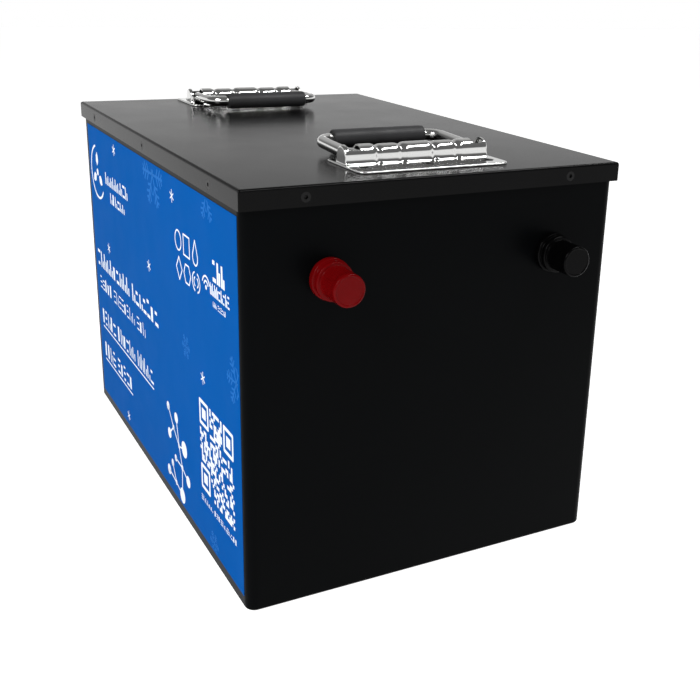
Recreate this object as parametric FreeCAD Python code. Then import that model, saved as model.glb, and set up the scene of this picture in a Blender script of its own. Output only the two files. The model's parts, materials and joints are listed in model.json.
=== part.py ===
"""Steel-cased battery pack: sixteen prismatic cells, a management board, two stud terminals
with pull-off caps and two sprung folding handles.

Frame: millimetres, +Z up, origin on the floor at the centre of the case's footprint.
The terminals are on the -Y end, the label is on the -X side.
"""
import FreeCAD, Part
import math
import os

V = FreeCAD.Vector

# Driving dimensions ---------------------------------------------------------------------------
CASE_WIDTH = 268.0
CASE_LENGTH = 400.0
PACK_HEIGHT = 277.0          # floor to the top of the lid
SHEET = 1.5                  # steel sheet of the case and the lid
CASE_BEND = 7.0              # outer radius of the case's upright corners
BASE_BEND = 2.0
LID_OVERHANG = 2.0           # lid's outer face beyond the case's outer face
LID_SKIRT = 12.7
LID_BEND = 1.8
SEAL_THICKNESS = 1.5
SEAL_WIDTH = 8.0

LID_SCREW_DROP = 7.0         # below the lid's top
END_SCREW_X = 95.0
SIDE_SCREW_Y = 149.0

HANDLE_X = 3.0
FRONT_HANDLE_Y = -153.0      # hinge axes of the two handles
REAR_HANDLE_Y = 163.0
PLATE_HALF_LENGTH = 55.0
PLATE_OUTER_EDGE = 32.0      # from the hinge axis towards the case's end
PLATE_INNER_EDGE = 20.0
PLATE_THICKNESS = 1.6
HANDLE_SCREW_PITCH = 45.0
HANDLE_SCREW_OFFSET = 19.0
HINGE_HEIGHT = 6.2           # hinge axis above the lid
BARREL_HALF_LENGTH = 53.0
BARREL_RADIUS = 7.0
BEARING_RADIUS = 6.5
GROOVE_RADIUS = 5.9
BARREL_FOOT = 8.5
BARREL_CAVITY = 5.6
ROD_RADIUS = 4.0
RUNNING_GAP = 0.05           # radial clearance of pins, spigots and bores
BAIL_REACH = 52.0            # hinge axis to grip axis
BAIL_HALF_WIDTH = 46.0       # centre line of the arms
BAIL_REST_RISE = 2.0         # grip axis above hinge axis, folded
GRIP_RADIUS = 6.5
GRIP_LENGTH = 70.0
SPRING_WIRE = 1.0

POSITIVE_X = -79.0
NEGATIVE_X = 85.0
TERMINAL_Z = 219.0
STUD_RADIUS = 4.0
COLLAR_RADIUS = 13.2
CAP_FLANGE_RADIUS = 12.4
CAP_RADIUS = 10.3
CAP_BORE = 8.3
CAP_START = 6.0              # distances out from the case's end face
CAP_FLANGE_END = 9.5
CAP_END = 29.0
STUD_OUT = 22.0
STUD_IN = 26.0

LABEL_THICKNESS = 0.25
LABEL_Y = (-193.0, 187.0)
LABEL_Z = (9.0, 260.0)

CELL_WIDTH = 130.0
CELL_THICKNESS = 36.0
CELL_HEIGHT = 200.0
CELL_GAP = 0.5
CELL_ROWS = 8
POST_OFFSET = 43.0           # from the middle of a cell to each of its posts
POST_HEIGHT = 3.0
BUSBAR_THICKNESS = 2.0
END_PLATE = 4.0
REAR_PAD = 3.0
BASE_PAD = 3.0
HEATER_FILM = 0.5
CABLE_RADIUS = 4.5

# Derived levels ---------------------------------------------------------------------------------
HALF_WIDTH = CASE_WIDTH / 2
HALF_LENGTH = CASE_LENGTH / 2
LID_INNER_TOP = PACK_HEIGHT - SHEET
RIM = LID_INNER_TOP - SEAL_THICKNESS
INNER_X = HALF_WIDTH - SHEET
INNER_Y = HALF_LENGTH - SHEET
CELL_BASE = SHEET + BASE_PAD + HEATER_FILM
CELL_TOP = CELL_BASE + CELL_HEIGHT
POST_TOP = CELL_TOP + POST_HEIGHT
BUSBAR_TOP = POST_TOP + BUSBAR_THICKNESS
CELL_PITCH = CELL_THICKNESS + CELL_GAP
STACK_REAR = INNER_Y - REAR_PAD - END_PLATE
STACK_FRONT = STACK_REAR - CELL_ROWS * CELL_PITCH + CELL_GAP
CELL_X = CELL_WIDTH / 2 + CELL_GAP / 2 + 0.05
BAY_REAR = STACK_FRONT - END_PLATE


# Shape helpers ----------------------------------------------------------------------------------
def block(x0, x1, y0, y1, z0, z1):
    return Part.makeBox(x1 - x0, y1 - y0, z1 - z0, V(x0, y0, z0))


def rod(radius, length, start, direction=V(0, 0, 1)):
    return Part.makeCylinder(radius, length, start, direction)


def upright_edges(shape):
    return [e for e in shape.Edges
            if abs(e.Vertexes[0].X - e.Vertexes[-1].X) < 1e-6
            and abs(e.Vertexes[0].Y - e.Vertexes[-1].Y) < 1e-6
            and abs(e.Vertexes[0].Z - e.Vertexes[-1].Z) > 1e-3]


def edges_at_height(shape, z):
    return [e for e in shape.Edges
            if abs(e.BoundBox.ZMin - z) < 1e-6 and abs(e.BoundBox.ZMax - z) < 1e-6]


def rounded_block(x0, x1, y0, y1, z0, z1, radius):
    shape = block(x0, x1, y0, y1, z0, z1)
    return shape.makeFillet(radius, upright_edges(shape))


def hexagon(across_flats, z0, z1):
    corner = across_flats / math.sqrt(3)
    points = [V(corner * math.cos(math.radians(a)), corner * math.sin(math.radians(a)), z0)
              for a in range(0, 361, 60)]
    return Part.Face(Part.makePolygon(points)).extrude(V(0, 0, z1 - z0))


def hex_nut(across_flats, bore, z0, z1):
    return hexagon(across_flats, z0, z1).cut(rod(bore, z1 - z0, V(0, 0, z0)))


def ring(outer, inner, z0, z1):
    return rod(outer, z1 - z0, V(0, 0, z0)).cut(rod(inner, z1 - z0, V(0, 0, z0)))


def aimed(shape, point, direction):
    """Turn a shape drawn along +Z to a direction and move its origin to a point."""
    turned = shape.copy()
    turned.Placement = FreeCAD.Placement(point, FreeCAD.Rotation(V(0, 0, 1), direction))
    return turned


def moved(shape, offset):
    copy = shape.copy()
    copy.translate(offset)
    return copy


def tube(points, radius, bend):
    """Round bar along straight runs joined by tangent arcs."""
    edges = []
    start = points[0]
    for before, corner, after in zip(points, points[1:], points[2:]):
        back = (before - corner).normalize()
        ahead = (after - corner).normalize()
        half_turn = back.getAngle(ahead) / 2
        setback = bend / math.tan(half_turn)
        middle = (back + ahead).normalize() * (bend / math.sin(half_turn) - bend)
        first, last = corner + back * setback, corner + ahead * setback
        edges.append(Part.LineSegment(start, first).toShape())
        edges.append(Part.Arc(first, corner + middle, last).toShape())
        start = last
    edges.append(Part.LineSegment(start, points[-1]).toShape())
    profile = Part.Wire(Part.makeCircle(radius, points[0], points[1] - points[0]))
    return Part.Wire(edges).makePipeShell([profile], True, True)


# Case and lid -------------------------------------------------------------------------------------
def lid_screw_seats():
    """Points on the case's outer faces under the lid's skirt, with the inward directions."""
    z = PACK_HEIGHT - LID_SCREW_DROP
    seats = [(V(x, side * HALF_LENGTH, z), V(0, -side, 0))
             for side in (-1, 1) for x in (-END_SCREW_X, END_SCREW_X)]
    seats += [(V(side * HALF_WIDTH, y, z), V(-side, 0, 0))
              for side in (-1, 1) for y in (-SIDE_SCREW_Y, 0, SIDE_SCREW_Y)]
    return seats


RIVET_RADIUS = 3.0
RIVET_BORE = 2.0
RIVET_LENGTH = 9.0
RIVET_FLANGE = (3.8, 0.4)    # radius and thickness
SCREW_HEAD = 3.2
SCREW_SHANK = RIVET_BORE - RUNNING_GAP
HEAD_DEPTH = 1.2


def case_tub():
    outer = rounded_block(-HALF_WIDTH, HALF_WIDTH, -HALF_LENGTH, HALF_LENGTH, 0, RIM, CASE_BEND)
    outer = outer.makeFillet(BASE_BEND, edges_at_height(outer, 0))
    inner = rounded_block(-INNER_X, INNER_X, -INNER_Y, INNER_Y, SHEET, RIM + 1,
                          CASE_BEND - SHEET)
    cuts = [aimed(rod(RIVET_RADIUS, 3 * SHEET, V(0, 0, -SHEET)), point, inward)
            for point, inward in lid_screw_seats()]
    cuts += [rod(STUD_RADIUS + 3, 3 * SHEET, V(x, -HALF_LENGTH - SHEET, TERMINAL_Z), V(0, 1, 0))
             for x in (POSITIVE_X, NEGATIVE_X)]
    return outer.cut(inner).cut(cuts)


def lid():
    x, y = HALF_WIDTH + LID_OVERHANG, HALF_LENGTH + LID_OVERHANG
    outer = rounded_block(-x, x, -y, y, PACK_HEIGHT - LID_SKIRT, PACK_HEIGHT, 1.0)
    outer = outer.makeFillet(LID_BEND, edges_at_height(outer, PACK_HEIGHT))
    x, y = x - SHEET, y - SHEET
    shape = outer.cut(block(-x, x, -y, y, 0, LID_INNER_TOP))
    sink = Part.makeCone(SCREW_HEAD + 0.1, SCREW_SHANK + 0.1, HEAD_DEPTH)
    sink = sink.fuse(rod(SCREW_SHANK + 0.1, 2 * SHEET, V(0, 0, 0)))
    cuts = [aimed(sink, point - inward * LID_OVERHANG, inward)
            for point, inward in lid_screw_seats()]
    for placement in (front_place, rear_place):
        cuts += [placement(rod(HANDLE_SHANK + 0.1, 3 * SHEET, V(x, y, -2 * SHEET)))
                 for x, y in handle_screw_points()]
    return shape.cut(cuts)


def lid_seal():
    edge_x, edge_y = HALF_WIDTH - 0.3, HALF_LENGTH - 0.3
    outer = rounded_block(-edge_x, edge_x, -edge_y, edge_y, RIM, LID_INNER_TOP, CASE_BEND - 0.3)
    edge_x, edge_y = edge_x - SEAL_WIDTH, edge_y - SEAL_WIDTH
    return outer.cut(block(-edge_x, edge_x, -edge_y, edge_y, RIM, LID_INNER_TOP))


def lid_rivet_nuts():
    flange_radius, flange_depth = RIVET_FLANGE
    nut = rod(RIVET_RADIUS, RIVET_LENGTH, V(0, 0, 0))
    nut = nut.fuse(rod(flange_radius, flange_depth, V(0, 0, -flange_depth)))
    nut = nut.cut(rod(RIVET_BORE, RIVET_LENGTH + 2, V(0, 0, -1)))
    return [aimed(nut, point, inward) for point, inward in lid_screw_seats()]


def lid_screws():
    head = Part.makeCone(SCREW_HEAD, SCREW_SHANK, HEAD_DEPTH, V(0, 0, -LID_OVERHANG))
    screw = head.fuse(rod(SCREW_SHANK, 10.0, V(0, 0, -LID_OVERHANG)))
    screw = screw.cut(hexagon(2.5, -LID_OVERHANG, -LID_OVERHANG + 1.3))
    return [aimed(screw, point, inward) for point, inward in lid_screw_seats()]


def side_label():
    return block(-HALF_WIDTH - LABEL_THICKNESS, -HALF_WIDTH, *LABEL_Y, *LABEL_Z)


# Handles, drawn with the hinge axis along X through x = y = 0, lid top at z = 0,
# +Y towards the middle of the lid -----------------------------------------------------------------
HANDLE_SHANK = 2.45
HANDLE_HEAD = 4.3
HANDLE_HEAD_DEPTH = 1.3
BACKING = 2.0
HANDLE_NUT = 4.0
END_SEGMENT = 29.5           # where the barrel's end segments start
MIDDLE_SEGMENT = 11.75       # half length of the middle segment
GROOVE = 1.2
SLOT = (41.5, 50.5)          # along the barrel, for the bail's arm


def front_place(shape):
    return moved(shape, V(HANDLE_X, FRONT_HANDLE_Y, PACK_HEIGHT))


def rear_place(shape):
    turned = shape.copy()
    turned.rotate(V(0, 0, 0), V(0, 0, 1), 180)
    return moved(turned, V(HANDLE_X, REAR_HANDLE_Y, PACK_HEIGHT))


def handle_screw_points():
    return [(i * HANDLE_SCREW_PITCH, -HANDLE_SCREW_OFFSET) for i in (-1, 0, 1)]


def barrel_segment(x0, x1, radius):
    """Solid arch standing on the plate between two stations of the barrel."""
    sill = PLATE_THICKNESS / 2
    flare = Part.makePolygon([V(x0, -BARREL_FOOT, sill), V(x0, BARREL_FOOT, sill),
                              V(x0, radius, HINGE_HEIGHT), V(x0, -radius, HINGE_HEIGHT),
                              V(x0, -BARREL_FOOT, sill)])
    foot = Part.Face(flare).extrude(V(x1 - x0, 0, 0))
    crown = rod(radius, x1 - x0, V(x0, 0, HINGE_HEIGHT), V(1, 0, 0))
    return foot.fuse(crown.common(block(x0, x1, -radius, radius, sill, HINGE_HEIGHT + radius)))


def handle_plate():
    plate = rounded_block(-PLATE_HALF_LENGTH, PLATE_HALF_LENGTH, -PLATE_OUTER_EDGE,
                          PLATE_INNER_EDGE, 0, PLATE_THICKNESS, 6.0)
    bearing_start, bearing_end = MIDDLE_SEGMENT + GROOVE, END_SEGMENT - GROOVE
    arch = barrel_segment(-END_SEGMENT, END_SEGMENT, GROOVE_RADIUS)
    arch = arch.fuse([barrel_segment(-MIDDLE_SEGMENT, MIDDLE_SEGMENT, BARREL_RADIUS),
                      barrel_segment(-bearing_end, -bearing_start, BEARING_RADIUS),
                      barrel_segment(bearing_start, bearing_end, BEARING_RADIUS),
                      barrel_segment(-BARREL_HALF_LENGTH, -END_SEGMENT, BARREL_RADIUS),
                      barrel_segment(END_SEGMENT, BARREL_HALF_LENGTH, BARREL_RADIUS)])
    axis = V(0, 0, HINGE_HEIGHT)
    hollows = [rod(BARREL_CAVITY, 2 * MIDDLE_SEGMENT, axis - V(MIDDLE_SEGMENT, 0, 0), V(1, 0, 0)),
               rod(ROD_RADIUS + RUNNING_GAP, 2 * SLOT[0], axis - V(SLOT[0], 0, 0), V(1, 0, 0))]
    for side in (-1, 1):
        hollows.append(rod(BARREL_CAVITY, SLOT[1] - END_SEGMENT, axis + V(side * END_SEGMENT, 0, 0),
                           V(side, 0, 0)))
        x0, x1 = sorted((side * SLOT[0], side * SLOT[1]))
        hollows.append(block(x0, x1, -ROD_RADIUS - 0.8, BARREL_FOOT + 1, PLATE_THICKNESS,
                             HINGE_HEIGHT + BARREL_RADIUS + 1))
    shape = plate.fuse(arch).cut(hollows)
    sink = Part.makeCone(HANDLE_SHANK + 0.1, HANDLE_HEAD + 0.1, HANDLE_HEAD_DEPTH)
    for x, y in handle_screw_points():
        shape = shape.cut(moved(sink, V(x, y, PLATE_THICKNESS - HANDLE_HEAD_DEPTH)))
        shape = shape.cut(rod(HANDLE_SHANK + 0.1, PLATE_THICKNESS, V(x, y, 0)))
    return shape.removeSplitter()


def handle_bail():
    """Bent rod: two pins in the barrel, two arms and the bar that carries the grip."""
    corner = 10.0
    route = [V(-0.6, 0, 0), V(-BAIL_HALF_WIDTH, 0, 0), V(-BAIL_HALF_WIDTH, BAIL_REACH, 0),
             V(0, BAIL_REACH, 0)]
    pin_bend = 6.0
    waist = V(-BAIL_HALF_WIDTH, BAIL_REACH / 2, 0)
    pin = tube([route[0], route[1], waist], ROD_RADIUS, pin_bend)
    bar = tube([waist, route[2], route[3]], ROD_RADIUS, corner)
    half = pin.fuse(bar)
    other = half.mirror(V(0, 0, 0), V(1, 0, 0))
    shape = half.fuse(other).removeSplitter()
    return folded(shape)


def folded(shape):
    """Lift a flat handle part from the hinge axis's level to its folded position."""
    copy = shape.copy()
    copy.rotate(V(0, 0, 0), V(1, 0, 0), math.degrees(math.asin(BAIL_REST_RISE / BAIL_REACH)))
    return moved(copy, V(0, 0, HINGE_HEIGHT))


def handle_grip():
    start = V(-GRIP_LENGTH / 2, BAIL_REACH, 0)
    sleeve = rod(GRIP_RADIUS, GRIP_LENGTH, start, V(1, 0, 0))
    sleeve = sleeve.makeFillet(0.8, [e for e in sleeve.Edges if e.isClosed()])
    return folded(sleeve.cut(rod(ROD_RADIUS, GRIP_LENGTH, start, V(1, 0, 0))))


def handle_spring():
    """Torsion spring round the pins in the middle segment of the barrel."""
    coil_radius = BARREL_CAVITY - SPRING_WIRE / 2 - 0.15
    length = 2 * MIDDLE_SEGMENT - 4.0
    helix = Part.makeHelix(1.6, length, coil_radius)
    profile = Part.Wire(Part.makeCircle(SPRING_WIRE / 2, V(coil_radius, 0, 0), V(0, 1, 0)))
    coil = helix.makePipeShell([profile], True, True)
    return aimed(coil, V(-length / 2, 0, HINGE_HEIGHT), V(1, 0, 0))


def handle_screw_set():
    head = Part.makeCone(HANDLE_SHANK, HANDLE_HEAD, HANDLE_HEAD_DEPTH,
                         V(0, 0, PLATE_THICKNESS - HANDLE_HEAD_DEPTH))
    screw = head.fuse(rod(HANDLE_SHANK, 10.0, V(0, 0, PLATE_THICKNESS - 10.0)))
    screw = screw.cut(hexagon(3.0, PLATE_THICKNESS - 1.0, PLATE_THICKNESS + 1))
    return [moved(screw, V(x, y, 0)) for x, y in handle_screw_points()]


def handle_nut_set():
    top = -SHEET - BACKING
    nut = hex_nut(8.0, HANDLE_SHANK + RUNNING_GAP, top - HANDLE_NUT, top)
    return [moved(nut, V(x, y, 0)) for x, y in handle_screw_points()]


def handle_backing():
    half = PLATE_HALF_LENGTH - 1
    plate = rounded_block(-half, half, -HANDLE_SCREW_OFFSET - 9, -HANDLE_SCREW_OFFSET + 9,
                          -SHEET - BACKING, -SHEET, 4.0)
    return plate.cut([rod(HANDLE_SHANK + 0.1, BACKING, V(x, y, -SHEET - BACKING))
                      for x, y in handle_screw_points()])


# Terminals, drawn along +Z with the case's outer face at z = 0, outwards positive ---------------
NUT_ACROSS_FLATS = 13.0
NUT_HEIGHT = 6.5
WASHER = (8.0, 1.6)          # radius and thickness
BUSH_DEPTH = 4.0
LUG_THICKNESS = 3.0
LUG_AT = -SHEET - BUSH_DEPTH - WASHER[1] - NUT_HEIGHT - LUG_THICKNESS


def at_terminal(shape, x):
    return aimed(shape, V(x, -HALF_LENGTH, TERMINAL_Z), V(0, -1, 0))


def terminal_collar():
    collar_end = CAP_START - 0.5
    disc = rod(COLLAR_RADIUS, collar_end, V(0, 0, 0))
    disc = disc.makeFillet(1.0, edges_at_height(disc, collar_end))
    shape = disc.fuse([rod(CAP_BORE - RUNNING_GAP, CAP_FLANGE_END, V(0, 0, 0)),
                       rod(STUD_RADIUS + 3, SHEET, V(0, 0, -SHEET))])
    return shape.cut(rod(STUD_RADIUS + RUNNING_GAP, 2 * CAP_FLANGE_END, V(0, 0, -2 * SHEET)))


def terminal_inner_bush():
    return ring(12.0, STUD_RADIUS + RUNNING_GAP, -SHEET - BUSH_DEPTH, -SHEET)


def terminal_stud():
    stud = rod(STUD_RADIUS, STUD_IN + STUD_OUT, V(0, 0, -STUD_IN))
    return stud.makeChamfer(0.6, [e for e in stud.Edges if e.isClosed()])


def terminal_nuts():
    """Outer washer and nut, then inside the case a washer and the two nuts that hold the lug."""
    bore = STUD_RADIUS + RUNNING_GAP
    washer_radius, washer_depth = WASHER
    outer_nut = CAP_FLANGE_END + washer_depth
    washer_face = -SHEET - BUSH_DEPTH - washer_depth
    return [ring(washer_radius, bore, CAP_FLANGE_END, outer_nut),
            hex_nut(NUT_ACROSS_FLATS, bore, outer_nut, outer_nut + NUT_HEIGHT),
            ring(washer_radius, bore, washer_face, washer_face + washer_depth),
            hex_nut(NUT_ACROSS_FLATS, bore, washer_face - NUT_HEIGHT, washer_face),
            hex_nut(NUT_ACROSS_FLATS, bore, LUG_AT - NUT_HEIGHT, LUG_AT)]


def terminal_cap():
    barrel = rod(CAP_RADIUS, CAP_END - CAP_START, V(0, 0, CAP_START))
    barrel = barrel.makeFillet(1.2, edges_at_height(barrel, CAP_END))
    flange = rod(CAP_FLANGE_RADIUS, CAP_FLANGE_END - CAP_START, V(0, 0, CAP_START))
    flange = flange.makeFillet(0.8, edges_at_height(flange, CAP_FLANGE_END))
    closed_end = 1.8
    return barrel.fuse(flange).cut(rod(CAP_BORE, CAP_END - closed_end - CAP_START,
                                       V(0, 0, CAP_START)))


# Cells and what holds them ----------------------------------------------------------------------
def row_y(row):
    return STACK_FRONT + CELL_THICKNESS / 2 + row * CELL_PITCH


def cell(column, row):
    """Prismatic cell with a vent, two posts and their studs; column is -1 or 1."""
    x, y = column * CELL_X, row_y(row)
    half, deep = CELL_WIDTH / 2, CELL_THICKNESS / 2
    shape = rounded_block(x - half, x + half, y - deep, y + deep, CELL_BASE, CELL_TOP, 3.0)
    shape = shape.cut(rounded_block(x - 12, x + 12, y - 6, y + 6, CELL_TOP - 0.8, CELL_TOP, 5.0))
    for side in (-1, 1):
        post = V(x + side * POST_OFFSET, y, CELL_TOP - 1)
        shape = shape.fuse(rod(9.0, POST_HEIGHT + 1, post)).fuse(rod(3.0, 12.0, post))
    return shape


def inner_post_x(column):
    return column * (CELL_X - POST_OFFSET)


def outer_post_x(column):
    return column * (CELL_X + POST_OFFSET)


def cell_busbars():
    """Links that put the sixteen cells in series, with the cross link at the rear."""
    bars = []
    for column in (-1, 1):
        for row in range(CELL_ROWS - 1):
            x = outer_post_x(column) if row % 2 == 0 else inner_post_x(column)
            y0, y1 = row_y(row), row_y(row + 1)
            bar = rounded_block(x - 10, x + 10, y0 - 10, y1 + 10, POST_TOP, BUSBAR_TOP, 6.0)
            bars.append(bar.cut([rod(3.1, BUSBAR_THICKNESS, V(x, y, POST_TOP)) for y in (y0, y1)]))
    x, y = inner_post_x(1), row_y(CELL_ROWS - 1)
    cross = rounded_block(-x - 10, x + 10, y - 10, y + 10, POST_TOP, BUSBAR_TOP, 6.0)
    bars.append(cross.cut([rod(3.1, BUSBAR_THICKNESS, V(s * x, y, POST_TOP)) for s in (-1, 1)]))
    return bars


def busbar_nuts():
    nut = hex_nut(10.0, 3.05, 0, 4.5)
    nuts = []
    for column in (-1, 1):
        for row in range(CELL_ROWS):
            for x in (inner_post_x(column), outer_post_x(column)):
                lead_post = row == 0 and x == inner_post_x(column)
                level = POST_TOP + LUG_THICKNESS if lead_post else BUSBAR_TOP
                nuts.append(moved(nut, V(x, row_y(row), level)))
    return nuts


def cell_spacers():
    """Thin insulating sheets between neighbouring rows."""
    return [block(s * CELL_X - 62, s * CELL_X + 62, row_y(row) + CELL_THICKNESS / 2,
                  row_y(row + 1) - CELL_THICKNESS / 2, CELL_BASE + 5, CELL_TOP - 5)
            for s in (-1, 1) for row in range(CELL_ROWS - 1)]


def cell_end_plates():
    reach = INNER_X - 2.0
    return [block(-reach, reach, y, y + END_PLATE, CELL_BASE, CELL_TOP - 5)
            for y in (BAY_REAR, STACK_REAR)]


def compression_straps():
    """Steel bands that pull the end plates together along the stack, one pair on each side."""
    outer = INNER_X - 1.4
    return [block(x - 0.4, x + 0.4, BAY_REAR, STACK_REAR + END_PLATE, z - 8, z + 8)
            for x in (-outer, outer) for z in (60.0, 150.0)]


def base_pad():
    return block(-INNER_X + 5, INNER_X - 5, BAY_REAR, INNER_Y - 5, SHEET, SHEET + BASE_PAD)


def heater_film():
    return block(-INNER_X + 12, INNER_X - 12, BAY_REAR + 5, STACK_REAR, SHEET + BASE_PAD, CELL_BASE)


def rear_pad():
    return block(-INNER_X + 8, INNER_X - 8, STACK_REAR + END_PLATE, INNER_Y, CELL_BASE, CELL_TOP)


def top_board():
    level = BUSBAR_TOP + 9.0
    return block(-INNER_X + 3, INNER_X - 3, BAY_REAR, STACK_REAR + END_PLATE, level, level + 1.5)


def top_foam():
    base = BUSBAR_TOP + 10.5
    return [block(-110, 110, y - 15, y + 15, base, LID_INNER_TOP - 0.3) for y in (-65, 35, 115)]


# Management board and leads ---------------------------------------------------------------------
BOARD_BASE = 75.0
BOARD_TOP = 185.0
HEAT_PLATE_FACE = BAY_REAR - 8.0
BOARD_FACE = HEAT_PLATE_FACE - 12.0
LEAD_Y = (HEAT_PLATE_FACE + BOARD_FACE) / 2


def bms_bracket():
    sheet = block(-112, 112, BAY_REAR - 2, BAY_REAR, 55, 195)
    window = block(-60, 60, BAY_REAR - 2, BAY_REAR, 90, 165)
    return sheet.cut([window] + [rod(2.1, 12.0, p, V(0, 1, 0)) for p in bms_screw_points()])


def bms_heat_plate():
    plate = block(-104, 104, HEAT_PLATE_FACE, BAY_REAR - 2, BOARD_BASE - 8, BOARD_TOP + 5)
    return plate.cut([rod(2.1, 8.0, p, V(0, 1, 0)) for p in bms_screw_points()])


def bms_screw_points():
    return [V(x, HEAT_PLATE_FACE - 1, z) for x in (-99.5, 99.5) for z in (BOARD_BASE, BOARD_TOP)]


def bms_module():
    """Potted board with a row of sense sockets along its lower edge."""
    body = block(-94, 94, BOARD_FACE, HEAT_PLATE_FACE, BOARD_BASE, BOARD_TOP)
    body = body.makeFillet(2.0, edges_at_height(body, BOARD_BASE) + edges_at_height(body, BOARD_TOP))
    sockets = [block(x - 10, x + 10, BOARD_FACE - 7, BOARD_FACE + 1, 84, 96) for x in (-50, -20, 10)]
    return body.fuse(sockets)


def bms_screws():
    screw = rod(2.0, 6.5, V(0, 0, 0)).fuse(rod(3.6, 2.4, V(0, 0, -2.4)))
    return [aimed(screw, p + V(0, 1, 0), V(0, 1, 0)) for p in bms_screw_points()]


def bluetooth_module():
    return block(45, 80, BOARD_FACE - 6, BOARD_FACE, 150, 175)


def stud_lug(x, side):
    """Ring lug on a stud's inner end, its sleeve pointing towards the cable; side is -1 or 1."""
    sleeve_start, sleeve_end = 9.0, 30.0
    y = -HALF_LENGTH - LUG_AT - LUG_THICKNESS
    tongue = rod(8.5, LUG_THICKNESS, V(x, y, TERMINAL_Z), V(0, 1, 0))
    x0, x1 = sorted((x, x + side * sleeve_start))
    tongue = tongue.fuse(block(x0, x1, y, y + LUG_THICKNESS, TERMINAL_Z - 6, TERMINAL_Z + 6))
    tongue = tongue.cut(rod(STUD_RADIUS + RUNNING_GAP, LUG_THICKNESS, V(x, y, TERMINAL_Z),
                            V(0, 1, 0)))
    start = V(x + side * sleeve_start, y + LUG_THICKNESS / 2, TERMINAL_Z)
    sleeve = rod(6.0, sleeve_end - sleeve_start, start, V(side, 0, 0))
    return tongue.fuse(sleeve), start + V(side * (sleeve_end - sleeve_start), 0, 0)


def cell_lug(column):
    """Ring lug on the first row's inner post, its sleeve pointing to the front bay."""
    x, y = inner_post_x(column), row_y(0)
    tongue = rod(8.5, LUG_THICKNESS, V(x, y, POST_TOP))
    tongue = tongue.fuse(block(x - 6, x + 6, y - 12, y, POST_TOP, POST_TOP + LUG_THICKNESS))
    tongue = tongue.cut(rod(3.05, LUG_THICKNESS, V(x, y, POST_TOP)))
    start = V(x, y - 10, POST_TOP + 5.0)
    sleeve = rod(5.5, 12.0, start, V(0, -1, 0))
    return tongue.fuse(sleeve), start - V(0, 12, 0)


def positive_cable():
    near_stud, exit_stud = stud_lug(POSITIVE_X, 1)
    near_cell, exit_cell = cell_lug(-1)
    turn = V(exit_cell.x, exit_stud.y, exit_stud.z)
    lead = tube([exit_stud, turn, V(turn.x, exit_cell.y - 30, turn.z), exit_cell],
                CABLE_RADIUS, 14.0)
    return near_stud.fuse([near_cell, lead])


def negative_cables():
    """Cell lead down to the board, and the board's output lead to the negative stud."""
    near_cell, exit_cell = cell_lug(1)
    down = V(exit_cell.x, LEAD_Y, exit_cell.z)
    cell_lead = tube([exit_cell, down, V(down.x, LEAD_Y, BOARD_TOP)], CABLE_RADIUS, 11.0)
    near_stud, exit_stud = stud_lug(NEGATIVE_X, -1)
    bend = 14.0
    outlet_x = exit_stud.x - bend - 2
    rise = V(outlet_x, LEAD_Y, exit_stud.z)
    stud_lead = tube([V(outlet_x, LEAD_Y, BOARD_TOP), rise, V(outlet_x, exit_stud.y, exit_stud.z),
                      exit_stud], CABLE_RADIUS, bend)
    return [near_cell.fuse(cell_lead), near_stud.fuse(stud_lead)]


def sense_harness():
    """Bundle of sense wires along the gap between the columns, and the temperature probe."""
    level = BUSBAR_TOP + 3.5
    bundle = tube([V(0, LEAD_Y, BOARD_TOP), V(0, LEAD_Y, level), V(0, row_y(6), level)], 2.4, 10.0)
    return [bundle, rod(1.6, 14.0, V(0, row_y(3) - 7, CELL_TOP + 1.6), V(0, 1, 0))]


# Export -----------------------------------------------------------------------------------------
def export(name, shapes):
    shape = Part.makeCompound(shapes) if isinstance(shapes, list) else shapes
    shape.exportStep(os.path.join("parts", name + ".step"))
    if not shape.isValid():
        print("invalid:", name)


def main():
    os.makedirs("parts", exist_ok=True)
    single = (case_tub, lid, lid_seal, lid_rivet_nuts, lid_screws, side_label, cell_busbars,
              busbar_nuts, cell_spacers, cell_end_plates, compression_straps, base_pad,
              heater_film, rear_pad, top_board, top_foam, bms_bracket, bms_heat_plate,
              bms_module, bms_screws, bluetooth_module, positive_cable, negative_cables,
              sense_harness)
    for make in single:
        export(make.__name__, make())

    for make in (handle_plate, handle_bail, handle_grip, handle_spring, handle_backing):
        export("front_" + make.__name__, front_place(make()))
        export("rear_" + make.__name__, rear_place(make()))
    for name, make in (("handle_screws", handle_screw_set), ("handle_nuts", handle_nut_set)):
        shapes = make()
        export(name, [front_place(s) for s in shapes] + [rear_place(s) for s in shapes])

    for make in (terminal_collar, terminal_stud, terminal_cap):
        export("positive_" + make.__name__, at_terminal(make(), POSITIVE_X))
        export("negative_" + make.__name__, at_terminal(make(), NEGATIVE_X))
    both = (POSITIVE_X, NEGATIVE_X)
    export("terminal_inner_bushes", [at_terminal(terminal_inner_bush(), x) for x in both])
    export("terminal_nuts", [at_terminal(s, x) for x in both for s in terminal_nuts()])

    number = 0
    for column in (-1, 1):
        for row in range(CELL_ROWS):
            number += 1
            export("cell_%02d" % number, cell(column, row))


main()
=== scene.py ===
"""Looks of the battery pack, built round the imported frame.

Lengths are millimetres until a mesh is made. The camera, lights and floor are in metres."""
import bpy
import bmesh
import json
import math
import random
from mathutils import Matrix, Vector


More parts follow.
